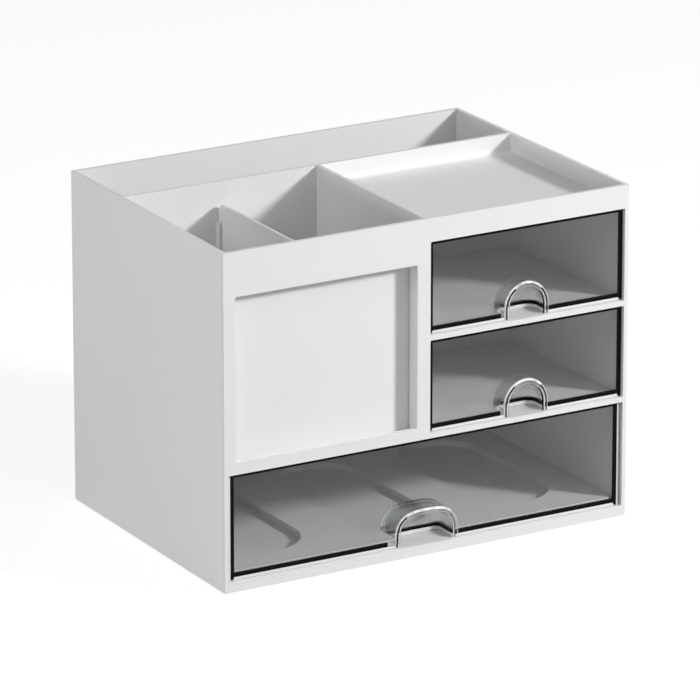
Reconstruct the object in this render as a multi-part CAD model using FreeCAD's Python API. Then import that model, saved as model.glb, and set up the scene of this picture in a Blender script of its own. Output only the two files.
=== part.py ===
"""Desktop drawer organizer: a panel-built housing with three clear-fronted drawers,
a pen bay with a lift-out divider, a rear compartment, a top tray and a picture window.

Millimetres. X runs to the right, Y to the back, Z up. The origin is on the desk, under
the middle of the housing. Depths named d are measured from the front face backwards.
"""
import FreeCAD, Part
import os

from FreeCAD import Vector

# Housing
housing_width = 270.0
housing_depth = 188.0
housing_height = 204.0
side_draft = 3.2
wall = 2.4
floor_sheet = 2.4
deck_sheet = 1.8
tongue = 1.0
foot_gap = 0.6
heel_radius = 2.0
frame_lip = 1.2
seam_gap = 0.3

# Heights of the front, from the desk up. The drawers share what the rails leave.
sill_height = 6.9
wide_opening_share = 0.3641
deck_rail = 3.1
shelf_rail = 3.2
stop_lip = 1.3
tray_sheet = 1.5
top_tray_depth = 11.4
tray_cove = 3.0

# Places across and along the housing
frame_edge = 2.4
bay_edge = 1.0
small_opening_width = 131.6
opening_corner = 0.8
divider_from_front = 125.0

# Picture window and its board
window_margin = 5.2
window_rise = 4.2
window_below_rim = 26.7
window_corner = 1.0
rail_depth = 14.5
rail_below_rim = 8.0
groove_from_front = 9.2
groove_width = 2.8
groove_depth = 3.2
board_sheet = 1.8
board_back_gap = 0.2
board_edge_gap = 0.6
board_notch_radius = 14.0
board_notch_depth = 7.0

# Pen divider and its guides
divider_sheet = 1.6
divider_below_rim = 13.0
divider_corner = 4.0
divider_front_gap = 1.0
divider_rear_gap = 1.2
guide_sheet = 1.6
guide_reach = 4.0
guide_below_rim = 24.0
guide_lead = 1.0
guide_lead_height = 4.0
guide_gap = 0.3
lug_length = 15.0
lug_height = 14.0

# Base
pad_radius = 7.0
pad_thickness = 1.5
pad_recess = 0.6
boss_radius = 9.0
boss_inset = 22.0
rib_sheet = 1.6
rib_height = 1.8
cross_ribs = 4
long_ribs = 3

# Drawers
drawer_set = 2.2
small_side_gap = 0.4
wide_side_gap = 0.9
slide_gap = 0.3
rest_gap = 0.3
rear_gap = 2.0
tray_wall = 1.5
tray_ledge = 1.6
tray_floor_small = 1.6
tray_floor_wide = 4.8
tray_corner = 3.0
tray_top_gap = 1.2
front_top_gap = 0.6
small_travel = 90.0
wide_travel = 135.0
stop_overlap = 0.9
stop_length = 12.0
stop_clearance = 0.2

# Clear fronts and their finger niches
front_sheet = 2.0
front_leg = 1.8
front_leg_gap = 0.2
hood_wall = 1.8
bead_width = 2.6
bead_reach = 1.0
bead_foot_gap = 0.2
small_niche_width = 30.0
small_niche_rise = 20.0
small_niche_leg = 4.5
small_niche_depth = 17.0
small_niche_corner = 8.0
wide_niche_width = 38.6
wide_niche_rise = 18.8
wide_niche_leg = 1.0
wide_niche_depth = 18.5
wide_niche_corner = 4.5

# Wells in the wide drawer's floor, which is hollow underneath between them
well_count = 3
well_pitch = 84.4
well_offset = -3.0
well_width = 53.0
well_behind_niche = 2.0
well_length = 124.0
well_sheet = 0.9
well_wall = 1.2
well_cove = 1.2
wide_floor_sheet = 1.6

# One overrun serves every cut
overrun = 5.0

# Directions, and how far from parallel an edge may be and still count as along one
along_x = Vector(1, 0, 0)
along_y = Vector(0, 1, 0)
along_z = Vector(0, 0, 1)
parallel_share = 0.05

# Worked out from the sizes above
half_width = housing_width / 2
front = -housing_depth / 2
top_stack = stop_lip + tray_sheet + top_tray_depth
drawer_heights = housing_height - sill_height - deck_rail - shelf_rail - top_stack
wide_opening_height = drawer_heights * wide_opening_share
small_opening_height = (drawer_heights - wide_opening_height) / 2
wide_opening_top = sill_height + wide_opening_height
deck_top = wide_opening_top + deck_rail
deck_bottom = deck_top - deck_sheet
lower_opening_top = deck_top + small_opening_height
shelf_top = lower_opening_top + shelf_rail
upper_opening_top = shelf_top + small_opening_height
tray_bottom = upper_opening_top + stop_lip
tray_top = tray_bottom + tray_sheet
base_bottom = sill_height - floor_sheet
opening_right = half_width - frame_edge
small_opening_left = opening_right - small_opening_width
partition_right = small_opening_left - bay_edge
partition_left = partition_right - wall
window_left = wall - half_width + window_margin
window_right = partition_left - window_margin
window_bottom = deck_top + window_rise
window_top = housing_height - window_below_rim
rail_top = housing_height - rail_below_rim
board_back = groove_from_front + groove_width - board_back_gap
board_front = board_back - board_sheet
divider_middle = (wall - half_width + partition_left) / 2
guide_top = housing_height - guide_below_rim
back_inside = housing_depth - wall


def lean(d):
    """How far the draft has brought a side wall in at depth d."""
    return side_draft * d / housing_depth


def outer_right(d):
    return half_width - lean(d)


def inner_right(d):
    return outer_right(d) - wall


def groove_right(d):
    return inner_right(d) + tongue


def small_tray_right(d):
    return opening_right - small_side_gap - lean(d)


def small_tray_left(d):
    return small_opening_left + small_side_gap


def wide_tray_right(d):
    return opening_right - wide_side_gap - lean(d)


def mirrored(edge):
    """The same edge on the left-hand side."""
    return lambda d: -edge(d)


def moved(edge, amount):
    """An edge shifted along X."""
    return lambda d: edge(d) + amount


def steady(x):
    """An edge that runs straight back at one X."""
    return lambda d: x


def point(x, d, z):
    return Vector(x, front + d, z)


def slab(left, right, d0, d1, z0, z1):
    """A flat panel whose two sides follow edges given as functions of depth."""
    corners = [
        point(left(d0), d0, z0),
        point(right(d0), d0, z0),
        point(right(d1), d1, z0),
        point(left(d1), d1, z0),
    ]
    face = Part.Face(Part.makePolygon(corners + corners[:1]))
    return face.extrude(Vector(0, 0, z1 - z0))


def block(x0, x1, d0, d1, z0, z1):
    return slab(steady(x0), steady(x1), d0, d1, z0, z1)


def rounded_block(x0, x1, d0, d1, z0, z1, radius, axis):
    """A block with its four edges along one axis rounded."""
    solid = block(x0, x1, d0, d1, z0, z1)
    return solid.makeFillet(radius, edges_along(solid, axis))


def edges_along(solid, axis, keep=None):
    """Straight edges that run along an axis, all or those that a test keeps."""
    found = []
    for edge in solid.Edges:
        ends = edge.Vertexes[-1].Point - edge.Vertexes[0].Point
        if ends.Length > 0 and ends.cross(axis).Length < ends.Length * parallel_share:
            if keep is None or keep(edge.CenterOfMass):
                found.append(edge)
    return found


def heel_rounded(solid):
    """Round the bottom edge at the very back, as the housing's heel is."""
    box = solid.BoundBox

    def at_heel(middle):
        return middle.y > box.YMax - heel_radius and middle.z < box.ZMin + heel_radius

    return solid.makeFillet(heel_radius, edges_along(solid, along_x, at_heel))


def deck_plate():
    """Full-width floor over the wide drawer, with two lugs that hold the pen divider's foot."""
    deck = slab(mirrored(groove_right), groove_right, wall, back_inside, deck_bottom, deck_top)
    return deck.fuse(guide_pair(divider_front(), divider_front() + lug_length, lug_height))


def guide_pair(d0, d1, height):
    """Two upright guides with lead-in slopes, one on each side of the pen divider."""
    slot = divider_sheet / 2 + guide_gap
    top = deck_top + height
    profile = [
        (slot, deck_top),
        (slot + guide_sheet, deck_top),
        (slot + guide_sheet, top),
        (slot + guide_lead, top),
        (slot, top - guide_lead_height),
    ]
    guides = []
    for side in (-1, 1):
        corners = [point(divider_middle + side * x, d0, z) for x, z in profile]
        face = Part.Face(Part.makePolygon(corners + corners[:1]))
        guides.append(face.extrude(Vector(0, d1 - d0, 0)))
    return guides


def rear_divider():
    """Full-width wall between the rear compartment and the bays in front of it."""
    back = divider_from_front + wall
    plate = slab(mirrored(groove_right), groove_right, divider_from_front, back, deck_top, housing_height)
    guides = guide_pair(divider_from_front - guide_reach, divider_from_front, guide_top - deck_top)
    return plate.fuse(guides).removeSplitter()


def bay_partition():
    return block(partition_left, partition_right, wall, divider_from_front, deck_top, housing_height)


def bay_plate(z0, z1):
    """A plate from the partition to the right-hand wall, edges in their grooves."""
    return slab(steady(partition_right - tongue), groove_right, wall, divider_from_front, z0, z1)


def bay_shelf():
    return bay_plate(shelf_top - deck_sheet, shelf_top)


def tray_floor():
    """Floor of the top tray, coved up against the rear divider."""
    plate = bay_plate(tray_bottom, tray_top)
    cove_start = divider_from_front - tray_cove
    cove = slab(
        steady(partition_right), inner_right, cove_start, divider_from_front, tray_top, tray_top + tray_cove
    )
    hollow = Part.makeCylinder(
        tray_cove, housing_width, point(-half_width, cove_start, tray_top + tray_cove), along_x
    )
    return plate.fuse(cove.cut(hollow)).removeSplitter()


def base_plate():
    """Bottom plate with stiffening ribs and four bosses for the foot pads."""
    plate = slab(mirrored(groove_right), groove_right, wall, back_inside, base_bottom, sill_height)
    rib_bottom = base_bottom - rib_height
    ribs = []
    for step in range(1, cross_ribs + 1):
        d = housing_depth * step / (cross_ribs + 1)
        ribs.append(slab(mirrored(inner_right), inner_right, d, d + rib_sheet, rib_bottom, base_bottom))
    for step in range(1, long_ribs + 1):
        x = housing_width * step / (long_ribs + 1) - half_width
        ribs.append(block(x, x + rib_sheet, wall, back_inside, rib_bottom, base_bottom))
    bosses = [pad_disc(x, d, boss_radius, pad_thickness - pad_recess, base_bottom) for x, d in pad_places()]
    seats = [pad_disc(x, d, pad_radius, pad_thickness - pad_recess, pad_thickness) for x, d in pad_places()]
    return plate.fuse(ribs + bosses).removeSplitter().cut(seats)


def pad_places():
    places = []
    for d in (boss_inset, housing_depth - boss_inset):
        for side in (-1, 1):
            places.append((side * (inner_right(d) - boss_inset), d))
    return places


def pad_disc(x, d, radius, z0, z1):
    return Part.makeCylinder(radius, z1 - z0, point(x, d, z0), along_z)


def foot_pads():
    """Four soft discs pressed into the bosses of the base."""
    return Part.makeCompound([pad_disc(x, d, pad_radius, 0, pad_thickness) for x, d in pad_places()])


def back_panel():
    panel = slab(mirrored(groove_right), groove_right, back_inside, housing_depth, foot_gap, housing_height)
    return heel_rounded(panel)


def side_wall(held):
    """Right-hand wall, grooved for the panels whose edges it holds."""
    d0 = frame_lip + seam_gap
    plate = slab(inner_right, outer_right, d0, housing_depth, foot_gap, housing_height)
    return heel_rounded(plate).cut(held)


def front_frame():
    """One flat front with the picture window and three drawer openings.

    Its side edges are stepped at the back, so that the side walls seat behind a thin lip.
    """
    plate = block(-half_width, half_width, 0, wall, foot_gap, housing_height)
    steps = [
        slab(
            inner_right, steady(half_width + overrun), frame_lip, wall + overrun,
            0, housing_height + overrun,
        ),
        slab(
            steady(-half_width - overrun), mirrored(inner_right), frame_lip, wall + overrun,
            0, housing_height + overrun,
        ),
    ]
    openings = [
        (-opening_right, opening_right, sill_height, wide_opening_top, opening_corner),
        (small_opening_left, opening_right, deck_top, lower_opening_top, opening_corner),
        (small_opening_left, opening_right, shelf_top, upper_opening_top, opening_corner),
        (window_left, window_right, window_bottom, window_top, window_corner),
    ]
    cuts = [
        rounded_block(x0, x1, -overrun, wall + overrun, z0, z1, radius, along_y)
        for x0, x1, z0, z1, radius in openings
    ]
    return plate.cut(steps + cuts)


def picture_rail(left, right, groove_left, groove_right_x):
    """Upright behind the window's side, with the groove that the board slides in."""
    bar = slab(left, right, wall, rail_depth, deck_top, rail_top)
    groove = block(
        groove_left, groove_right_x, groove_from_front, groove_from_front + groove_width,
        deck_top - overrun, rail_top + overrun,
    )
    return bar.cut(groove)


def picture_rail_left():
    return picture_rail(
        mirrored(inner_right), steady(window_left), window_left - groove_depth, window_left + overrun
    )


def picture_rail_right():
    return picture_rail(
        steady(window_right), steady(partition_left), window_right - overrun, window_right + groove_depth
    )


def picture_board():
    """Board that backs the window, with a finger notch in its top edge."""
    reach = groove_depth - board_edge_gap
    board = block(
        window_left - reach, window_right + reach, board_front, board_back, deck_top + rest_gap, rail_top
    )
    notch_middle = rail_top + board_notch_radius - board_notch_depth
    notch = Part.makeCylinder(
        board_notch_radius, board_sheet + overrun + overrun,
        point((window_left + window_right) / 2, board_front - overrun, notch_middle), along_y,
    )
    return board.cut(notch)


def divider_front():
    return groove_from_front + groove_width + divider_front_gap


def pen_divider():
    """Thin plate that splits the pen bay and lifts out, with rounded top corners."""
    top = housing_height - divider_below_rim
    plate = block(
        divider_middle - divider_sheet / 2, divider_middle + divider_sheet / 2,
        divider_front(), divider_from_front - divider_rear_gap, deck_top + rest_gap, top,
    )
    corners = edges_along(plate, along_x, lambda middle: middle.z > top - divider_corner)
    return plate.makeFillet(divider_corner, corners)


def arch(middle, half, leg, rise, z, d0, d1):
    """An arch-topped prism standing at height z, run from depth d0 to d1."""
    feet = [point(middle - half, d0, z), point(middle + half, d0, z)]
    springs = [point(middle - half, d0, z + leg), point(middle + half, d0, z + leg)]
    crown = point(middle, d0, z + rise)
    outline = Part.Wire([
        Part.LineSegment(feet[0], feet[1]).toShape(),
        Part.LineSegment(feet[1], springs[1]).toShape(),
        Part.Arc(springs[1], crown, springs[0]).toShape(),
        Part.LineSegment(springs[0], feet[0]).toShape(),
    ])
    return Part.Face(outline).extrude(Vector(0, d1 - d0, 0))


class Niche:
    """The finger niche of a clear front: an arched hood that goes in from the panel."""

    def __init__(self, middle, width, rise, leg, depth, corner):
        self.middle = middle
        self.half = width / 2
        self.rise = rise
        self.leg = leg
        self.back = drawer_set + depth
        self.corner = corner

    def hood(self, inset, z, d0):
        """The hood's outer form, or the space in it when inset by the wall."""
        back = self.back - inset
        vault = arch(self.middle, self.half - inset, self.leg, self.rise - inset, z, d0, back)
        return vault.common(self.plan(inset, d0, z, z + self.rise))

    def plan(self, inset, d0, z0, z1):
        """The hood's plan, with its two back corners rounded."""
        back = self.back - inset
        prism = block(
            self.middle - self.half + inset, self.middle + self.half - inset, d0, back, z0, z1
        )
        corners = edges_along(prism, along_z, lambda spot: spot.y > front + back - hood_wall)
        return prism.makeFillet(self.corner - inset, corners)

    def bead(self, z, drop):
        """The thick rim round the niche's mouth, whose feet reach down over the tray's lip."""
        d0 = drawer_set - bead_reach
        low = z - drop
        leg = self.leg + drop
        rise = self.rise + drop
        ring = arch(self.middle, self.half, leg, rise, low, d0, drawer_set)
        mouth = arch(self.middle, self.half - bead_width, leg, rise - bead_width, low, d0, drawer_set)
        return ring.cut(mouth)


class Drawer:
    """A tray with an open front and the clear front that stands in it."""

    def __init__(self, left, right, level, opening_top, back, sheet, front_inset, travel, niche):
        self.left = left
        self.right = right
        self.front_left = moved(left, front_inset)
        self.front_right = moved(right, -front_inset)
        self.opening_top = opening_top
        self.bottom = level + slide_gap
        self.ledge = self.bottom + tray_ledge
        self.floor = self.bottom + sheet
        self.back = back
        self.travel = travel
        self.niche = niche
        self.top = opening_top - tray_top_gap

    def tray(self):
        """Floor, two sides and a back, open at the front, with a stop on each side."""
        shell = slab(self.left, self.right, drawer_set, self.back, self.bottom, self.top)
        shell = self.round_back(shell, tray_corner)
        hollow = slab(
            moved(self.left, tray_wall), moved(self.right, -tray_wall),
            drawer_set - overrun, self.back - tray_wall, self.floor, self.top + overrun,
        )
        hollow = self.round_back(hollow, tray_corner - tray_wall)
        return shell.cut([hollow] + self.front_seat()).fuse(self.stops()).removeSplitter()

    def front_seat(self):
        """What the tray leaves free for the clear front: its ledge, its legs and its niche."""
        d0 = drawer_set - overrun
        low = self.bottom - overrun
        high = self.top + overrun
        return [
            slab(self.front_left, self.front_right, d0, self.front_back(), self.ledge, high),
            *self.legs(d0, low, high),
            self.niche.plan(0, d0, self.ledge, high),
            self.niche.plan(hood_wall, d0, low, high),
        ]

    def front_back(self):
        """Depth of the clear front's rear face, which stands against the tray."""
        return drawer_set + front_sheet

    def legs(self, d0, z0, z1):
        """The legs at the clear front's two sides, which reach down past the tray's lip."""
        return [
            slab(self.front_left, moved(self.front_left, front_leg), d0, self.front_back(), z0, z1),
            slab(moved(self.front_right, -front_leg), self.front_right, d0, self.front_back(), z0, z1),
        ]

    def round_back(self, solid, radius):
        limit = solid.BoundBox.YMax - tray_wall
        corners = edges_along(solid, along_z, lambda spot: spot.y > limit)
        return solid.makeFillet(radius, corners)

    def stops(self):
        """Lugs on the side walls that meet the front frame when the drawer is fully out."""
        d0 = wall + self.travel + stop_clearance
        top = self.opening_top + stop_overlap
        return [
            slab(self.left, moved(self.left, tray_wall), d0, d0 + stop_length, self.top, top),
            slab(moved(self.right, -tray_wall), self.right, d0, d0 + stop_length, self.top, top),
        ]

    def clear_front(self):
        """Clear panel on two legs, with the finger niche moulded into it."""
        top = self.opening_top - front_top_gap
        left = self.front_left
        right = self.front_right
        panel = slab(left, right, drawer_set, self.front_back(), self.ledge, top)
        legs = self.legs(drawer_set, self.bottom + front_leg_gap, top)
        hood = self.niche.hood(0, self.ledge, drawer_set)
        space = self.niche.hood(hood_wall, self.ledge, drawer_set - overrun)
        bead = self.niche.bead(self.ledge, tray_ledge - bead_foot_gap)
        return panel.fuse([hood] + legs).cut(space).fuse(bead).removeSplitter()


def small_drawer(level, opening_top):
    middle = (small_opening_left + opening_right) / 2
    niche = Niche(
        middle, small_niche_width, small_niche_rise, small_niche_leg, small_niche_depth, small_niche_corner
    )
    back = divider_from_front - rear_gap
    return Drawer(
        small_tray_left, small_tray_right, level, opening_top, back, tray_floor_small, 0, small_travel, niche
    )


def wide_drawer():
    niche = Niche(
        0, wide_niche_width, wide_niche_rise, wide_niche_leg, wide_niche_depth, wide_niche_corner
    )
    back = back_inside - rear_gap
    return Drawer(
        mirrored(wide_tray_right), wide_tray_right, sill_height, wide_opening_top, back,
        tray_floor_wide, tray_wall, wide_travel, niche,
    )


def stadium(x, d0, grow, z0, z1):
    """A long round-ended prism that starts at depth d0, grown all round by one amount."""
    half = well_width / 2
    reach = half + grow
    middle = d0 + half
    far = d0 + well_length - half
    outline = Part.Wire([
        Part.LineSegment(point(x - reach, far, z0), point(x - reach, middle, z0)).toShape(),
        Part.Arc(
            point(x - reach, middle, z0), point(x, middle - reach, z0), point(x + reach, middle, z0)
        ).toShape(),
        Part.LineSegment(point(x + reach, middle, z0), point(x + reach, far, z0)).toShape(),
        Part.Arc(point(x + reach, far, z0), point(x, far + reach, z0), point(x - reach, far, z0)).toShape(),
    ])
    return Part.Face(outline).extrude(Vector(0, 0, z1 - z0))


def well_places(drawer):
    """Where each well of the wide drawer has its middle across and its front end."""
    front_end = drawer.niche.back + well_behind_niche
    middle = (well_count - 1) / 2
    return [(well_offset + (index - middle) * well_pitch, front_end) for index in range(well_count)]


def wells(drawer):
    """Round-ended wells, side by side, coved round their floors, for small things to lie in."""
    low = drawer.bottom + well_sheet
    found = []
    for x, d0 in well_places(drawer):
        well = stadium(x, d0, 0, low, drawer.floor + overrun)
        foot = [edge for edge in well.Edges if edge.BoundBox.ZMax < low + well_cove]
        found.append(well.makeFillet(well_cove, foot))
    return found


def underside(drawer):
    """The space under the wide drawer's floor, between the wells, the niche and a skirt all round."""
    low = drawer.bottom - overrun
    high = drawer.floor - wide_floor_sheet
    d0 = drawer.front_back() + tray_wall
    space = slab(
        moved(drawer.left, tray_wall), moved(drawer.right, -tray_wall), d0, drawer.back - tray_wall, low, high
    )
    space = drawer.round_back(space, tray_corner - tray_wall)
    kept = [stadium(x, start, well_wall, low, high) for x, start in well_places(drawer)]
    return space.cut(kept + [drawer.niche.plan(-well_wall, 0, low, high)])


def pieces():
    """Every separate piece of the organizer, by name."""
    deck = deck_plate()
    shelf = bay_shelf()
    tray = tray_floor()
    base = base_plate()
    divider = rear_divider()
    back = back_panel()
    full_width = [deck, base, divider, back]
    mirror = (Vector(0, 0, 0), along_x)
    upper = small_drawer(shelf_top, upper_opening_top)
    lower = small_drawer(deck_top, lower_opening_top)
    wide = wide_drawer()
    return {
        "front_frame": front_frame(),
        "left_side_wall": side_wall(full_width).mirror(*mirror),
        "right_side_wall": side_wall(full_width + [shelf, tray]),
        "back_panel": back,
        "base_plate": base,
        "foot_pads": foot_pads(),
        "deck_plate": deck,
        "rear_divider": divider,
        "bay_partition": bay_partition().cut([shelf, tray]),
        "bay_shelf": shelf,
        "tray_floor": tray,
        "picture_rail_left": picture_rail_left(),
        "picture_rail_right": picture_rail_right(),
        "picture_board": picture_board(),
        "pen_divider": pen_divider(),
        "upper_drawer_tray": upper.tray(),
        "upper_drawer_front": upper.clear_front(),
        "lower_drawer_tray": lower.tray(),
        "lower_drawer_front": lower.clear_front(),
        "wide_drawer_tray": wide.tray().cut(wells(wide) + [underside(wide)]),
        "wide_drawer_front": wide.clear_front(),
    }


def main():
    os.makedirs("parts", exist_ok=True)
    for name, shape in pieces().items():
        print(name, len(shape.Solids), "solid", round(shape.Volume), "mm3", shape.isValid())
        shape.exportStep("parts/" + name + ".step")


main()
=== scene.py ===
"""Looks of the desktop drawer organizer: its finishes, its clear drawer fronts and the studio.

Everything is in metres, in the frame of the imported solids: X to the right, Y to the back, Z up.
"""

import logging
import math
from dataclasses import dataclass
from enum import Enum
from typing import Any, Iterable, Sequence

import bmesh
import bpy
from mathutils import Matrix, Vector


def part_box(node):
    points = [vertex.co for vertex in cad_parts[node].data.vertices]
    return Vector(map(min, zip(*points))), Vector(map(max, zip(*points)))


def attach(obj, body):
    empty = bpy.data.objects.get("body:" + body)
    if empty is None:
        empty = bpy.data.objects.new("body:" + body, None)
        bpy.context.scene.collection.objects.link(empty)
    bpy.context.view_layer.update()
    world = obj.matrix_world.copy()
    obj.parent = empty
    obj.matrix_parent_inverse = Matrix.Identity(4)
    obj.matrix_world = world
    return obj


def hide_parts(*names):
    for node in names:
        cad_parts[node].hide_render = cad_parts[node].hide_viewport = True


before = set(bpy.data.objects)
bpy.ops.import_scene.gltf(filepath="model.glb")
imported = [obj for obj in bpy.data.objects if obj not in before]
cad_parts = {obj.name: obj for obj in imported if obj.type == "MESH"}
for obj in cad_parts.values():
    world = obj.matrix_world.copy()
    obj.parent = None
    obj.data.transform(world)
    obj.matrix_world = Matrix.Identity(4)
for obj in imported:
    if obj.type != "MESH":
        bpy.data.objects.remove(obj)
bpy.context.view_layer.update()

log = logging.getLogger("organizer")

MM = 0.001
IMAGE_SIDE = 700
FLAT_DEGREES = 1
BEVEL_DEGREES = 35
BEVEL_STEPS = 2
CREASE_DEGREES = 40

Colour = tuple[float, float, float]
Outline = list[tuple[float, float]]

WHITE: Colour = (1.0, 1.0, 1.0)


class Slot(Enum):
    """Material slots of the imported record."""

    SHELL = "shell"
    TRAY = "tray"
    CLEAR = "clear"
    PADS = "pads"


def rgba(colour: Colour) -> tuple[float, float, float, float]:
    """Give a colour an alpha of one."""
    return (*colour, 1.0)


def scaled(colour: Colour, share: float) -> Colour:
    """Make a colour darker or lighter by one share."""
    return (colour[0] * share, colour[1] * share, colour[2] * share)


class NodeBench:
    """Adds shader nodes to one tree and joins them."""

    def __init__(self, tree: bpy.types.NodeTree) -> None:
        """Start from an empty tree.

        Args:
            tree: The node tree of a material or of the world.
        """
        self.tree = tree
        self.tree.nodes.clear()

    @classmethod
    def for_material(cls, name: str) -> tuple["NodeBench", bpy.types.Material]:
        """Make a new material with an empty tree.

        Args:
            name: The material's name.

        Returns:
            The bench and its material.
        """
        material = bpy.data.materials.new(name)
        material.use_nodes = True
        return cls(material.node_tree), material

    def add(self, kind: str, inputs: dict[str | int, Any] | None = None, **settings: Any) -> bpy.types.Node:
        """Add one node.

        Args:
            kind: Blender's type name of the node, without its common beginning.
            inputs: Values or output sockets for the node's inputs, by name or by place.
            settings: Values for the node's own settings.

        Returns:
            The new node.
        """
        node = self.tree.nodes.new("ShaderNode" + kind)
        for name, value in settings.items():
            setattr(node, name, value)
        for name, value in (inputs or {}).items():
            if isinstance(value, bpy.types.NodeSocket):
                self.tree.links.new(value, node.inputs[name])
            else:
                node.inputs[name].default_value = value
        return node

    def finish(self, shader: bpy.types.NodeSocket, output: str = "OutputMaterial") -> None:
        """Join a shader to the tree's output."""
        self.add(output, {"Surface": shader})

    def noise(self, scale: float, detail: float) -> bpy.types.NodeSocket:
        """Give a noise that stays with its piece.

        Args:
            scale: How fine the noise is.
            detail: How many finer layers it has.

        Returns:
            The noise, as a mask.
        """
        place = self.add("TexCoord").outputs["Object"]
        noise = self.add("TexNoise", {"Vector": place, "Scale": scale, "Detail": detail})
        return noise.outputs["Fac"]

    def tone(self, mask: bpy.types.NodeSocket, first: Colour, last: Colour) -> bpy.types.NodeSocket:
        """Give a colour that goes from one to another with a mask.

        Args:
            mask: The mask.
            first: The colour where the mask is 0.
            last: The colour where it is 1.

        Returns:
            The colour.
        """
        ramp = self.add("ValToRGB", {"Fac": mask})
        ramp.color_ramp.elements[0].color = rgba(first)
        ramp.color_ramp.elements[1].color = rgba(last)
        return ramp.outputs["Color"]

    def drifting(self, mask: bpy.types.NodeSocket, colour: Colour, drift: float) -> bpy.types.NodeSocket:
        """Give a colour that drifts darker and lighter with a mask."""
        return self.tone(mask, scaled(colour, 1 - drift), scaled(colour, 1 + drift))

    def about(self, mask: bpy.types.NodeSocket, middle: float, spread: float) -> bpy.types.NodeSocket:
        """Give a value that spreads about a middle with a mask."""
        limits = {"Value": mask, "To Min": middle - spread, "To Max": middle + spread}
        return self.add("MapRange", limits).outputs["Result"]

    def either(self, first: bpy.types.NodeSocket, second: bpy.types.NodeSocket) -> bpy.types.NodeSocket:
        """Give the larger of two masks."""
        return self.add("Math", {0: first, 1: second}, operation="MAXIMUM").outputs[0]

    def lighting_rays(self) -> bpy.types.NodeSocket:
        """Give a mask of the rays that only carry light: shadow rays and soft bounces."""
        path = self.add("LightPath")
        return self.either(path.outputs["Is Shadow Ray"], path.outputs["Is Diffuse Ray"])

    def seen_rays(self) -> bpy.types.NodeSocket:
        """Give a mask of the rays that show a surface: straight, mirrored or through clear plastic.

        Returns:
            The mask.
        """
        path = self.add("LightPath")
        mirrored = self.either(path.outputs["Is Glossy Ray"], path.outputs["Is Transmission Ray"])
        return self.either(path.outputs["Is Camera Ray"], mirrored)


@dataclass(frozen=True)
class MouldedPlastic:
    """White moulded plastic with a fine satin grain and a slight drift of tone."""

    name: str
    colour: Colour
    drift: float = 0.025
    roughness: float = 0.42
    roughness_spread: float = 0.08
    drift_scale: float = 11.0
    grain_scale: float = 2400.0
    grain_depth: float = 0.00006
    detail: float = 2.0
    ior: float = 1.46

    def material(self) -> bpy.types.Material:
        """Build the finish.

        Returns:
            The new material.
        """
        bench, material = NodeBench.for_material(self.name)
        cloud = bench.noise(self.drift_scale, self.detail)
        grain = bench.noise(self.grain_scale, self.detail)
        relief = bench.add("Bump", {"Height": grain, "Distance": self.grain_depth})
        shader = bench.add("BsdfPrincipled", {
            "Base Color": bench.drifting(cloud, self.colour, self.drift),
            "Roughness": bench.about(grain, self.roughness, self.roughness_spread),
            "Normal": relief.outputs["Normal"],
            "IOR": self.ior,
        })
        bench.finish(shader.outputs["BSDF"])
        return material


@dataclass(frozen=True)
class SmokeSheet:
    """Clear smoke-tinted plastic, polished, seen straight through.

    The lamps' light passes with the same tint, unless a tint is given for it. A lamp tint paler than
    the seen tint paints shade: the piece looks dark while the lamps' light passes it.
    """

    name: str
    tint: Colour
    lamp_tint: Colour | None = None
    drift: float = 0.03
    drift_scale: float = 9.0
    detail: float = 1.0
    mirror_share: float = 0.012
    mirror_rise: float = 5.0
    slant_blend: float = 0.5
    gloss: float = 0.05

    def material(self) -> bpy.types.Material:
        """Build the finish.

        Returns:
            The new material.
        """
        bench, material = NodeBench.for_material(self.name)
        cloud = bench.noise(self.drift_scale, self.detail)
        through = bench.add("BsdfTransparent", {"Color": bench.drifting(cloud, self.tint, self.drift)})
        if self.lamp_tint:
            pale = bench.add("BsdfTransparent", {"Color": rgba(self.lamp_tint)})
            through = bench.add("MixShader", {
                0: bench.lighting_rays(),
                1: through.outputs[0],
                2: pale.outputs[0],
            })
        mirror = bench.add("BsdfAnisotropic", {"Roughness": self.gloss})
        slant = bench.add("LayerWeight", {"Blend": self.slant_blend}).outputs["Facing"]
        steep = bench.add("Math", {0: slant, 1: self.mirror_rise}, operation="POWER").outputs[0]
        share = bench.add("MapRange", {"Value": steep, "To Min": self.mirror_share}).outputs["Result"]
        mixed = bench.add("MixShader", {0: share, 1: through.outputs[0], 2: mirror.outputs[0]})
        bench.finish(mixed.outputs[0])
        return material


@dataclass(frozen=True)
class SheenLine:
    """Painted highlight along a clear edge: uneven white, with a share of translucence lit through the
    plastic.
    """

    name: str
    tint: Colour
    white: Colour = (0.95, 0.95, 0.95)
    least: float = 0.55
    most: float = 1.0
    streak_scale: float = 180.0
    detail: float = 1.0
    streak_low: float = 0.35
    streak_high: float = 0.6
    roughness: float = 0.15
    through_share: float = 0.0

    def material(self) -> bpy.types.Material:
        """Build the finish.

        Returns:
            The new material.
        """
        bench, material = NodeBench.for_material(self.name)
        share = bench.add("MapRange", {
            "Value": bench.noise(self.streak_scale, self.detail),
            "From Min": self.streak_low,
            "From Max": self.streak_high,
            "To Min": self.least,
            "To Max": self.most,
        }).outputs["Result"]
        seen = bench.add("Math", {0: 1.0, 1: bench.lighting_rays()}, operation="SUBTRACT").outputs[0]
        share = bench.add("Math", {0: share, 1: seen}, operation="MULTIPLY").outputs[0]
        through = bench.add("BsdfTransparent", {"Color": rgba(self.tint)})
        # Painted highlight: plain white colour in place of a reflection.
        sheen = bench.add("BsdfPrincipled", {"Base Color": rgba(self.white), "Roughness": self.roughness})
        carried = bench.add("BsdfTranslucent", {"Color": rgba(self.white)})
        bright = bench.add("MixShader", {
            0: self.through_share,
            1: sheen.outputs["BSDF"],
            2: carried.outputs[0],
        })
        mixed = bench.add("MixShader", {0: share, 1: through.outputs[0], 2: bright.outputs[0]})
        bench.finish(mixed.outputs[0])
        return material


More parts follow.
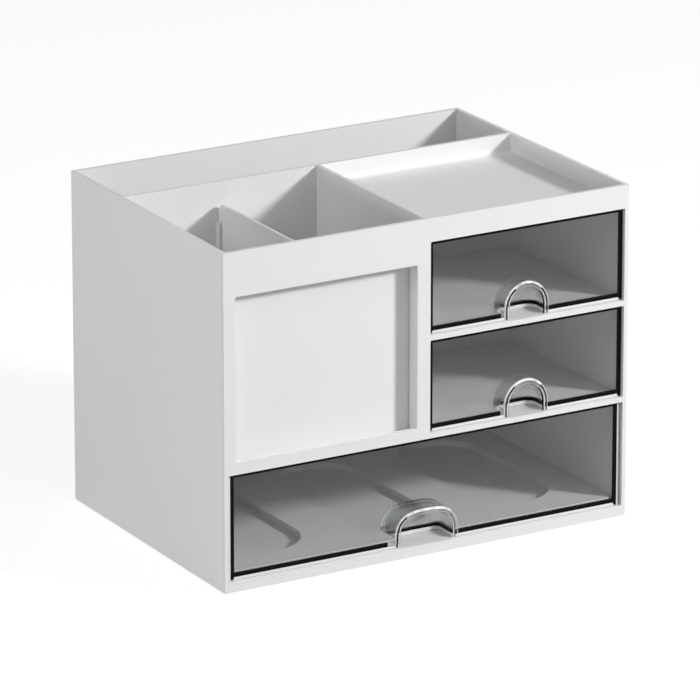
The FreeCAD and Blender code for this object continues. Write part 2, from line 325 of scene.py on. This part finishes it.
@dataclass(frozen=True)
class MouldedGlass:
    """Clear moulded plastic that bends what is seen through it and lets the lamps' light pass."""

    name: str
    tint: Colour
    ior: float = 1.49
    straight_share: float = 0.0
    roughness: float = 0.01
    ripple_scale: float = 160.0
    ripple_depth: float = 0.00008
    detail: float = 1.0

    def material(self) -> bpy.types.Material:
        """Build the finish.

        Returns:
            The new material.
        """
        bench, material = NodeBench.for_material(self.name)
        ripple = bench.noise(self.ripple_scale, self.detail)
        relief = bench.add("Bump", {"Height": ripple, "Distance": self.ripple_depth})
        bent = bench.add("BsdfPrincipled", {
            "Base Color": rgba(self.tint),
            "Roughness": self.roughness,
            "IOR": self.ior,
            "Transmission Weight": 1.0,
            "Normal": relief.outputs["Normal"],
        })
        straight = bench.add("BsdfTransparent", {"Color": rgba(self.tint)})
        lighting = bench.lighting_rays()
        share = bench.add("Math", {0: lighting, 1: self.straight_share}, operation="MAXIMUM").outputs[0]
        mixed = bench.add("MixShader", {0: share, 1: bent.outputs["BSDF"], 2: straight.outputs[0]})
        bench.finish(mixed.outputs[0])
        return material


@dataclass(frozen=True)
class DarkEdge:
    """The edge of smoke-tinted plastic, seen end on: almost black and polished."""

    name: str
    colour: Colour
    roughness: float = 0.3
    roughness_spread: float = 0.06
    mirror_level: float = 0.06
    drift: float = 0.4
    drift_scale: float = 300.0
    detail: float = 2.0

    def material(self) -> bpy.types.Material:
        """Build the finish.

        Returns:
            The new material.
        """
        bench, material = NodeBench.for_material(self.name)
        cloud = bench.noise(self.drift_scale, self.detail)
        shader = bench.add("BsdfPrincipled", {
            "Base Color": bench.drifting(cloud, self.colour, self.drift),
            "Roughness": bench.about(cloud, self.roughness, self.roughness_spread),
            "Specular IOR Level": self.mirror_level,
        })
        bench.finish(shader.outputs["BSDF"])
        return material


@dataclass(frozen=True)
class SoftRubber:
    """Soft grey rubber of the foot pads."""

    name: str
    colour: Colour
    roughness: float = 0.7
    darkest: float = 0.85
    lightest: float = 1.1
    speckle_scale: float = 1800.0
    speckle_depth: float = 0.00015
    detail: float = 3.0

    def material(self) -> bpy.types.Material:
        """Build the finish.

        Returns:
            The new material.
        """
        bench, material = NodeBench.for_material(self.name)
        speckle = bench.noise(self.speckle_scale, self.detail)
        relief = bench.add("Bump", {"Height": speckle, "Distance": self.speckle_depth})
        darkest = scaled(self.colour, self.darkest)
        lightest = scaled(self.colour, self.lightest)
        shader = bench.add("BsdfPrincipled", {
            "Base Color": bench.tone(speckle, darkest, lightest),
            "Roughness": self.roughness,
            "Normal": relief.outputs["Normal"],
        })
        bench.finish(shader.outputs["BSDF"])
        return material


@dataclass(frozen=True)
class Finishes:
    """The finishes of the whole organizer, each built once."""

    shell: bpy.types.Material
    tray: bpy.types.Material
    sheet: bpy.types.Material
    vault: bpy.types.Material
    bead: bpy.types.Material
    # The niches' painted highlights (sheen, glint) and painted shade (shade, line).
    sheen: bpy.types.Material
    glint: bpy.types.Material
    shade: bpy.types.Material
    line: bpy.types.Material
    edge: bpy.types.Material
    rubber: bpy.types.Material

    @classmethod
    def build(cls) -> "Finishes":
        """Build every finish.

        Returns:
            The set of materials.
        """
        clear = (0.95, 0.95, 0.95)
        hood = (0.96, 0.963, 0.966)
        return cls(
            shell=MouldedPlastic("shell_white", (0.865, 0.87, 0.875)).material(),
            tray=MouldedPlastic("tray_white", (0.80, 0.805, 0.81), roughness=0.36).material(),
            sheet=SmokeSheet("smoke_sheet", (0.922, 0.925, 0.927)).material(),
            vault=MouldedGlass("clear_vault", hood, ior=1.4, straight_share=0.75).material(),
            bead=MouldedGlass("clear_bead", clear).material(),
            # Painted highlights on bead and hood, and painted shade on the hood's top rear and along the
            # bead.
            sheen=SheenLine("bead_sheen", clear).material(),
            glint=SheenLine("hood_glint", clear, least=0.95, through_share=0.9).material(),
            shade=SmokeSheet("hood_shade", (0.62, 0.62, 0.63), lamp_tint=(0.96, 0.96, 0.96)).material(),
            line=SmokeSheet("bead_painted_shade_line", (0.06, 0.06, 0.062), lamp_tint=clear).material(),
            edge=DarkEdge("smoke_edge", (0.003, 0.003, 0.0032)).material(),
            rubber=SoftRubber("pad_rubber", (0.42, 0.42, 0.43)).material(),
        )


def add_bevel(piece: bpy.types.Object, width: float) -> None:
    """Round a piece's sharp edges.

    Args:
        piece: The object to round.
        width: Width of the rounding in metres.
    """
    bevel = piece.modifiers.new("soft_edges", "BEVEL")
    bevel.width = width
    bevel.segments = BEVEL_STEPS
    bevel.limit_method = "ANGLE"
    bevel.angle_limit = math.radians(BEVEL_DEGREES)
    bevel.harden_normals = False


def dress_solid(node: str, material: bpy.types.Material, edge: float) -> bpy.types.Object:
    """Give a CAD node its finish and soft edges.

    Args:
        node: The node's name.
        material: Its finish.
        edge: Width of its edge rounding in metres, or 0 for none.

    Returns:
        The node's object.
    """
    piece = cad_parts[node]
    piece.data.materials.clear()
    piece.data.materials.append(material)
    if edge > 0:
        flat = piece.modifiers.new("merge_flat_faces", "DECIMATE")
        flat.decimate_type = "DISSOLVE"
        flat.angle_limit = math.radians(FLAT_DEGREES)
        add_bevel(piece, edge)
    log.info("dressed %s in %s", node, material.name)
    return piece


def mesh_piece(name: str, points: Sequence[Vector], faces: Iterable[Sequence[int]]) -> bpy.types.Object:
    """Make an object from points and faces, with its faces turned outwards.

    Args:
        name: The piece's name.
        points: Its points.
        faces: Its faces, each a row of places in points.

    Returns:
        The new object, in the scene.
    """
    shape = bmesh.new()
    corners = [shape.verts.new(point) for point in points]
    for face in faces:
        shape.faces.new([corners[index] for index in face])
    bmesh.ops.recalc_face_normals(shape, faces=shape.faces)
    mesh = bpy.data.meshes.new(name)
    shape.to_mesh(mesh)
    shape.free()
    piece = bpy.data.objects.new(name, mesh)
    bpy.context.scene.collection.objects.link(piece)
    return piece


def prism(name: str, outline: Sequence[Vector], reach: Vector) -> bpy.types.Object:
    """Make a straight-sided piece from a flat outline.

    Args:
        name: The piece's name.
        outline: The outline's points, in order.
        reach: How far and which way the outline is carried.

    Returns:
        The new object.
    """
    count = len(outline)
    points = list(outline) + [point + reach for point in outline]
    faces: list[Sequence[int]] = [range(count), range(count, 2 * count)]
    for index in range(count):
        after = (index + 1) % count
        faces.append((index, after, count + after, count + index))
    return mesh_piece(name, points, faces)


def smooth(piece: bpy.types.Object) -> None:
    """Shade a piece smoothly, apart from its creases."""
    piece.data.shade_smooth()
    piece.data.set_sharp_from_angle(angle=math.radians(CREASE_DEGREES))


@dataclass(frozen=True)
class Arch:
    """The rim of a finger niche: two short legs and a round top, or a fuller one."""

    half: float
    rise: float
    leg: float
    fullness: float = 2.0

    def outline(self, start: float, inset: float, steps: int) -> Outline:
        """Trace the arch from its left foot to its right foot.

        Args:
            start: Height above the arch's foot at which the trace starts and ends.
            inset: How far inside the arch the trace runs.
            steps: How many steps the round part has.

        Returns:
            Points across and up, from the middle of the arch's foot.
        """
        half = self.half - inset
        bow = self.rise - inset - self.leg
        power = 2 / self.fullness
        spring = math.asin((max(start - self.leg, 0) / bow) ** (1 / power))
        turn = math.pi - 2 * spring
        points = []
        for step in range(steps + 1):
            angle = math.pi - spring - turn * step / steps
            across = math.copysign(abs(math.cos(angle)) ** power, math.cos(angle))
            points.append((half * across, self.leg + bow * math.sin(angle) ** power))
        if start < self.leg:
            points = [(-half, start), *points, (half, start)]
        return points


@dataclass(frozen=True)
class Niche:
    """A finger niche.

    It has the arch of its rim, half the width of its foot, the rounding of its foot and of its hood at the
    back, the clear stretch between the dark strip on its left and the rim, how many steps of its foot are
    clear, from the left, whether painted highlight and shade lines show on its hood and bead, and the
    height up to which its hood is as narrow as its foot.
    """

    arch: Arch
    foot_half: float
    foot_round: float
    hood_round: float
    band_gap: float
    clear_corner: int
    lined: bool = False
    hood_start: float = 0.0


SMALL_NICHE = Niche(
    Arch(half=15.0 * MM, rise=20.0 * MM, leg=4.5 * MM),
    foot_half=15.0 * MM,
    foot_round=8.0 * MM,
    hood_round=8.0 * MM,
    band_gap=2.0 * MM,
    clear_corner=9,
)
WIDE_NICHE = Niche(
    Arch(half=21.4 * MM, rise=19.4 * MM, leg=1.0 * MM, fullness=3.0),
    foot_half=19.3 * MM,
    foot_round=4.5 * MM,
    hood_round=3.0 * MM,
    band_gap=4.5 * MM,
    clear_corner=5,
    lined=True,
    hood_start=4.8 * MM,
)


class Band(Enum):
    """Bands of a clear piece, in its finishes' order, by letter: clear, painted highlight, painted shade.
    """

    CLEAR = "c"
    WHITE = "w"
    DARK = "d"

    @property
    def place(self) -> int:
        """Place of the band's finish among the piece's finishes."""
        return list(Band).index(self)


@dataclass
class ClearFront:
    """A drawer's clear front: sheet, dark edges, niche vault and the bead round its mouth.

    On a lined hood the painted white highlight (the glint) and the painted dark shade lie in some stations,
    which are rows of faces from the mouth to the back, and between two shares of the arch. The bead's rows
    of letters are its bands of clear plastic, painted highlight and painted shade, on both sides of it,
    along its top, and on the right of a lined niche.
    """

    drawer: str
    niche: Niche
    finishes: Finishes
    sheet_depth: float = 2.0 * MM
    rim: float = 2.5 * MM
    rim_depth: float = 1.2 * MM
    ledge_above_foot: float = 1.4 * MM
    bead_width: float = 3.6 * MM
    bead_reach: float = 1.0 * MM
    vault_wall: float = 1.8 * MM
    top_edge: float = 1.7 * MM
    arch_steps: int = 32
    round_steps: int = 8
    bead_steps: int = 10
    rim_edge: float = 0.25 * MM
    top_edge_round: float = 0.12 * MM
    band_edge: float = 0.1 * MM
    hood_step: float = 0.1 * MM
    glint_depth: float = 0.6 * MM
    glint_stations: tuple[int, ...] = (2, 3)
    glint_from: float = 0.08
    glint_to: float = 0.32
    shade_depth: float = 3.4 * MM
    shade_stations: tuple[int, ...] = (1, 2, 3)
    shade_from: float = 0.36
    shade_to: float = 0.86
    # Height of the painted highlight line under the niche's dark band.
    foot_line: float = 0.6 * MM
    # Where the bead's painted highlight and painted shade bands lie: shares of its arch, letters of its
    # section.
    bead_left: float = 0.33
    bead_right: float = 0.72
    bead_sides: str = "wwwddcwdddc"
    bead_top: str = "wwwwcccwddc"
    lined_right: str = "ddwcccdwwdc"

    def __post_init__(self) -> None:
        """Read the front's place from its solid."""
        low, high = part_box(self.node)
        self.left = low.x
        self.right = high.x
        self.foot = low.z
        self.top = high.z
        self.front = low.y + self.bead_reach
        self.back = high.y
        self.ledge = low.z + self.ledge_above_foot
        self.middle = (low.x + high.x) / 2

    @property
    def node(self) -> str:
        """Name of the solid that these pieces stand for."""
        return self.drawer + "_front"

    def build(self) -> None:
        """Make every piece of the front, and let it ride on its drawer."""
        pieces = [self.sheet(), self.top_edge_strip(), self.vault(), self.bead(), *self.foot_edges()]
        pieces += [self.side_edge("left", self.left), self.side_edge("right", self.right - self.rim)]
        for piece in pieces:
            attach(piece, self.drawer)
            log.info("built %s", piece.name)
        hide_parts(self.node)

    def named(self, piece: str) -> str:
        """Name of one piece of this front."""
        return f"{self.drawer}_{piece}"

    def upright(self, across: float, height: float) -> Vector:
        """A point in the front's plane, from the niche's middle and the ledge."""
        return Vector((self.middle + across, self.front, self.ledge + height))

    def dressed(
        self, piece: bpy.types.Object, material: bpy.types.Material, edge: float
    ) -> bpy.types.Object:
        """Give a piece its finish and a soft edge.

        Args:
            piece: The piece.
            material: Its finish.
            edge: Width of the edge rounding, or 0 for none.

        Returns:
            The same piece.
        """
        piece.data.materials.append(material)
        if edge > 0:
            add_bevel(piece, edge)
        return piece

    def hood_outline(self, inset: float) -> Outline:
        """Outline of the hood, which is as narrow as the niche's foot up to its start height.

        Args:
            inset: How far inside the hood's outer face the outline runs.

        Returns:
            Points across and up, from the middle of the niche's foot.
        """
        start = max(self.rim, self.niche.hood_start)
        points = self.niche.arch.outline(start, inset, self.arch_steps)
        if start == self.rim:
            return points
        foot = self.niche.foot_half - inset
        narrow = [(foot, start - self.hood_step), (foot, self.rim)]
        return [(-x, z) for x, z in reversed(narrow)] + points + narrow

    def sheet(self) -> bpy.types.Object:
        """Make the clear panel between the dark edges, cut out round the niche.

        Returns:
            The new piece.
        """
        mouth = self.hood_outline(0)
        wide = (self.right - self.left) / 2 - self.rim
        high = self.top - self.ledge - self.top_edge
        corners = [(wide, self.rim), (wide, high), (-wide, high), (-wide, self.rim)]
        outline = [self.upright(x, z) for x, z in mouth + corners]
        piece = prism(self.named("sheet"), outline, Vector((0, self.sheet_depth, 0)))
        return self.dressed(piece, self.finishes.sheet, 0)

    def side_edge(self, side: str, start: float) -> bpy.types.Object:
        """Make the dark upright rim at one side, down to the front's foot.

        Args:
            side: The side's name.
            start: The X of the rim's left face.

        Returns:
            The new piece.
        """
        plan = [(start, self.front), (start + self.rim, self.front)]
        plan += [(x, self.front + self.rim_depth) for x, _ in reversed(plan)]
        outline = [Vector((x, y, self.foot)) for x, y in plan]
        piece = prism(self.named("edge_" + side), outline, Vector((0, 0, self.top - self.foot)))
        return self.dressed(piece, self.finishes.edge, self.rim_edge)

    def top_edge_strip(self) -> bpy.types.Object:
        """Make the dark thin edge along the top of the sheet.

        Returns:
            The new piece.
        """
        wide = (self.right - self.left) / 2 - self.rim
        high = self.top - self.ledge
        low = high - self.top_edge
        corners = [(wide, low), (wide, high), (-wide, high), (-wide, low)]
        outline = [self.upright(x, z) for x, z in corners]
        piece = prism(self.named("edge_top"), outline, Vector((0, self.sheet_depth, 0)))
        return self.dressed(piece, self.finishes.edge, self.top_edge_round)

    def niche_plan(self, inset: float) -> Outline:
        """Plan of the niche from its left mouth round its back to its right mouth.

        Args:
            inset: How far inside the niche's outer face the plan runs.

        Returns:
            Points across, from the niche's middle, with their Y.
        """
        half = self.niche.foot_half - inset
        back = self.back - inset
        corner = self.niche.foot_round - inset
        points = []
        for side, start in ((-1, 0), (1, self.round_steps)):
            for step in range(self.round_steps + 1):
                angle = math.pi / 2 * abs(start - step) / self.round_steps
                x = side * (half - corner + corner * math.cos(angle))
                points.append((x, back - corner + corner * math.sin(angle)))
        return points

    def foot_edges(self) -> list[bpy.types.Object]:
        """Make the strips along the front's foot, and the niche's own bands over a painted highlight line.

        Returns:
            The strips, from left to right, and the three bands of the niche.
        """
        wide = (self.right - self.left) / 2 - self.rim
        outer = self.niche.foot_half
        dark_end = -self.niche.arch.half - self.niche.band_gap
        inside = [(self.vault_wall - outer, self.front), *self.niche_plan(self.vault_wall)]
        inside += [(outer - self.vault_wall, self.front)]
        outside = [(-outer, self.front), *self.niche_plan(0), (outer, self.front)]
        turn = self.niche.clear_corner
        around = inside + outside[::-1]
        left_wall = inside[:turn + 1] + outside[turn::-1]
        rest = inside[turn:] + outside[:turn - 1:-1]
        return [
            self.band("edge_foot_left", self.strip_plan(-wide, dark_end), 0, self.rim, self.finishes.edge),
            self.band("foot_clear", self.strip_plan(dark_end, -outer), 0, self.rim, self.finishes.sheet),
            self.band("edge_foot_right", self.strip_plan(outer, wide), 0, self.rim, self.finishes.edge),
            self.band("niche_clear", left_wall, self.foot_line, self.rim, self.finishes.sheet),
            self.band("edge_niche", rest, self.foot_line, self.rim, self.finishes.edge),
            # A painted highlight line under the niche's dark band.
            self.band("niche_foot_highlight", around, 0, self.foot_line, self.finishes.sheen),
        ]

    def strip_plan(self, start: float, end: float) -> Outline:
        """Plan of a straight strip along the foot, from one place across to another."""
        deep = self.front + self.rim_depth
        return [(start, self.front), (end, self.front), (end, deep), (start, deep)]

    def band(
        self, name: str, plan: Outline, low: float, high: float, material: bpy.types.Material
    ) -> bpy.types.Object:
        """Make a band that stands on the ledge.

        Args:
            name: The band's name.
            plan: Its plan: points across, from the niche's middle, with their Y.
            low: Height of its underside above the ledge.
            high: Height of its top above the ledge.
            material: Its finish.

        Returns:
            The new piece.
        """
        outline = [Vector((self.middle + x, y, self.ledge + low)) for x, y in plan]
        piece = prism(self.named(name), outline, Vector((0, 0, high - low)))
        return self.dressed(piece, material, self.band_edge if material == self.finishes.edge else 0)

    def vault(self) -> bpy.types.Object:
        """Make the arched hood of the niche, rounded at the back, as a shell of even thickness.

        Returns:
            The new piece.
        """
        rounding = self.niche.hood_round
        stations = [(self.front, 0.0)]
        stations += [(self.back - rounding - depth, 0.0) for depth in (self.shade_depth, self.glint_depth)]
        for step in range(self.round_steps + 1):
            angle = math.pi / 2 * step / self.round_steps
            depth = self.back - rounding + rounding * math.sin(angle)
            stations.append((depth, rounding * (1 - math.cos(angle))))
        points = []
        for depth, inset in stations:
            for x, z in self.hood_outline(inset):
                points.append(Vector((self.middle + x, depth, self.ledge + z)))
        row = len(points) // len(stations)
        faces: list[Sequence[int]] = [range(len(points) - row, len(points))]
        for station in range(len(stations) - 1):
            for index in range(row - 1):
                first = station * row + index
                faces.append((first, first + 1, first + row + 1, first + row))
        piece = mesh_piece(self.named("niche_vault"), points, faces)
        smooth(piece)
        # On a lined hood some faces take a painted highlight or painted shade instead of the clear finish.
        for finish in (self.finishes.vault, self.finishes.glint, self.finishes.shade):
            piece.data.materials.append(finish)
        for face in piece.data.polygons[1:]:
            station, index = divmod(face.index - 1, row - 1)
            face.material_index = self.hood_band(station, index / row).place
        shell = piece.modifiers.new("even_wall", "SOLIDIFY")
        shell.thickness = self.vault_wall
        shell.offset = -1
        return piece

    def hood_band(self, station: int, share: float) -> Band:
        """Tell a hood face's band: painted highlight at its left rear edge, painted shade at its top rear
        edge.

        Args:
            station: The face's place from the front to the back.
            share: Its place along the arch, from 0 at the left foot to 1 at the right foot.

        Returns:
            The face's band.
        """
        if not self.niche.lined:
            return Band.CLEAR
        if station in self.glint_stations and self.glint_from < share < self.glint_to:
            return Band.WHITE
        if station in self.shade_stations and self.shade_from < share < self.shade_to:
            return Band.DARK
        return Band.CLEAR

    def bead(self) -> bpy.types.Object:
        """Make the half-round bead along the niche's mouth, with feet down over the tray's lip.

        Returns:
            The new piece.
        """
        low = self.foot - self.ledge
        trace = self.niche.arch.outline(0, self.bead_width / 2, self.arch_steps)
        path = [(trace[0][0], low), *trace, (trace[-1][0], low)]
        section = []
        for step in range(self.bead_steps + 1):
            angle = math.pi * step / self.bead_steps
            section.append((math.cos(angle) * self.bead_width / 2, math.sin(angle) * self.bead_reach))
        points = []
        for index, (x, z) in enumerate(path):
            before = path[max(index - 1, 0)]
            after = path[min(index + 1, len(path) - 1)]
            along = Vector((after[0] - before[0], after[1] - before[1])).normalized()
            for outward, forward in section:
                spot = self.upright(x - along.y * outward, z + along.x * outward)
                points.append(spot - Vector((0, forward, 0)))
        row = len(section)
        faces: list[Sequence[int]] = [range(row), range(len(points) - row, len(points))]
        for index in range(len(path) - 1):
            for step in range(row):
                first = index * row + step
                second = index * row + (step + 1) % row
                faces.append((first, second, second + row, first + row))
        piece = mesh_piece(self.named("niche_bead"), points, faces)
        smooth(piece)
        # Faces take clear plastic, a painted highlight or a painted shade line, band by band.
        for finish in (self.finishes.bead, self.finishes.sheen, self.finishes.line):
            piece.data.materials.append(finish)
        for face in piece.data.polygons[2:]:
            index, step = divmod(face.index - 2, row)
            letters = self.bead_letters(index / (len(path) - 1))
            face.material_index = Band(letters[step]).place
        return piece

    def bead_letters(self, share: float) -> str:
        """Tell how the bead's section is banded, from its outer to its inner side and then its flat back.

        Args:
            share: The place along the arch, from 0 at the left foot to 1 at the right foot.

        Returns:
            The letter of a band for each face of the section.
        """
        if self.niche.lined and share > self.bead_right:
            return self.lined_right
        if share < self.bead_left or share > self.bead_right:
            return self.bead_sides
        return self.bead_top


@dataclass
class Drawer:
    """One drawer: its white tray and its clear front."""

    name: str
    niche: Niche
    finishes: Finishes
    edge: float = 0.2 * MM

    def build(self) -> None:
        """Dress the tray and make the clear front."""
        dress_solid(self.name + "_tray", self.finishes.tray, self.edge)
        ClearFront(self.name, self.niche, self.finishes).build()


@dataclass
class Housing:
    """The white panels of the housing and what lifts out of it."""

    finishes: Finishes
    edge: float = 0.25 * MM
    panels: tuple[str, ...] = (
        "front_frame",
        "left_side_wall",
        "right_side_wall",
        "back_panel",
        "base_plate",
        "deck_plate",
        "rear_divider",
        "bay_partition",
        "bay_shelf",
        "tray_floor",
        "picture_board",
        "pen_divider",
    )
    rails: tuple[str, ...] = ("picture_rail_left", "picture_rail_right")

    def build(self) -> None:
        """Dress every panel, the picture rails and the foot pads."""
        for node in self.panels:
            dress_solid(node, self.finishes.shell, self.edge)
        for node in self.rails:
            dress_solid(node, self.finishes.shell, 0)
        dress_solid("foot_pads", self.finishes.rubber, 0)


@dataclass(frozen=True)
class Lamp:
    """A soft square lamp: its name, direction from the organizer, distance, side and power in watts."""

    name: str
    toward: Vector
    distance: float
    size: float
    power: float

    def hang(self, aim: Vector) -> None:
        """Hang the lamp so that it faces the organizer.

        Args:
            aim: The point that it faces.
        """
        data = bpy.data.lights.new(self.name, "AREA")
        data.size = self.size
        data.energy = self.power
        lamp = bpy.data.objects.new(self.name, data)
        lamp.location = aim + self.toward.normalized() * self.distance
        lamp.rotation_mode = "QUATERNION"
        lamp.rotation_quaternion = (-self.toward).to_track_quat("-Z", "Y")
        bpy.context.scene.collection.objects.link(lamp)


@dataclass
class Studio:
    """Camera, lamps, floor and surroundings."""

    azimuth: float = math.radians(-30.168)
    elevation: float = math.radians(18.107)
    distance: float = 4.010
    aim: Vector = Vector((0, 0, 0.100))
    lens: float = 351.2
    sensor: float = 36.0
    shift_right_px: float = 3.188
    shift_up_px: float = -2.449
    lamps: tuple[Lamp, ...] = (
        Lamp("key_lamp", Vector((0.87, -1.0, 0.63)), distance=2.2, size=0.28, power=34.0),
        Lamp("fill_lamp", Vector((0.5, -0.8, 0.8)), distance=2.4, size=1.5, power=8.0),
        Lamp("side_lamp", Vector((-1.0, 0.2, 0.0)), distance=2.4, size=0.5, power=18.5),
        Lamp("left_lamp", Vector((-1.0, -0.3, 0.9)), distance=2.4, size=1.6, power=14.0),
        Lamp("low_lamp", Vector((-0.85, -1.0, 0.05)), distance=2.4, size=0.8, power=5.0),
    )
    ambient: float = 0.06
    view_reach: float = 100.0
    floor_half: float = 6.0
    floor_tone: Colour = (0.5, 0.5, 0.5)
    shadow_tone: Colour = (0.3, 0.3, 0.3)
    floor_glow: float = 0.86

    def build(self) -> None:
        """Set up the whole studio."""
        self.camera()
        for lamp in self.lamps:
            lamp.hang(self.aim)
        self.floor()
        self.surroundings()
        bpy.context.scene.view_settings.view_transform = "Standard"

    def camera(self) -> None:
        """Stand the camera where the photograph was taken from."""
        data = bpy.data.cameras.new("photo_camera")
        data.lens = self.lens
        data.sensor_width = self.sensor
        data.shift_x = self.shift_right_px / IMAGE_SIDE
        data.shift_y = self.shift_up_px / IMAGE_SIDE
        data.clip_end = self.view_reach
        back = Vector((
            math.sin(self.azimuth) * math.cos(self.elevation),
            -math.cos(self.azimuth) * math.cos(self.elevation),
            math.sin(self.elevation),
        ))
        camera = bpy.data.objects.new("photo_camera", data)
        camera.location = self.aim + back * self.distance
        camera.rotation_mode = "QUATERNION"
        camera.rotation_quaternion = (-back).to_track_quat("-Z", "Y")
        bpy.context.scene.collection.objects.link(camera)
        bpy.context.scene.camera = camera

    def floor(self) -> None:
        """Lay a plain white floor that shows white and keeps a faint shadow."""
        half = self.floor_half
        plan = ((-half, -half), (half, -half), (half, half), (-half, half))
        corners = [Vector((x, y, 0)) for x, y in plan]
        piece = mesh_piece("studio_floor", corners, [range(len(corners))])
        bench, material = NodeBench.for_material("floor_white")
        plain = bench.add("BsdfDiffuse", {"Color": rgba(self.floor_tone)})
        shade = bench.add("BsdfDiffuse", {"Color": rgba(self.shadow_tone)})
        glow = bench.add("Emission", {"Strength": self.floor_glow})
        white = bench.add("AddShader", {0: shade.outputs[0], 1: glow.outputs[0]})
        mixed = bench.add("MixShader", {0: bench.seen_rays(), 1: plain.outputs[0], 2: white.outputs[0]})
        bench.finish(mixed.outputs[0])
        piece.data.materials.append(material)

    def surroundings(self) -> None:
        """Light from all round: white where it is seen, softer where it lights."""
        world = bpy.data.worlds.new("studio_world")
        world.use_nodes = True
        bench = NodeBench(world.node_tree)
        soft = bench.add("Background", {"Color": rgba(WHITE), "Strength": self.ambient})
        white = bench.add("Background", {"Color": rgba(WHITE), "Strength": 1.0})
        mixed = bench.add("MixShader", {0: bench.seen_rays(), 1: soft.outputs[0], 2: white.outputs[0]})
        bench.finish(mixed.outputs[0], "OutputWorld")
        bpy.context.scene.world = world


def main() -> None:
    """Dress the organizer and set up the studio."""
    logging.basicConfig(level=logging.INFO, format="%(name)s: %(message)s")
    finishes = Finishes.build()
    Housing(finishes).build()
    Drawer("upper_drawer", SMALL_NICHE, finishes).build()
    Drawer("lower_drawer", SMALL_NICHE, finishes).build()
    Drawer("wide_drawer", WIDE_NICHE, finishes).build()
    Studio().build()


if __name__ == "__main__":
    main()
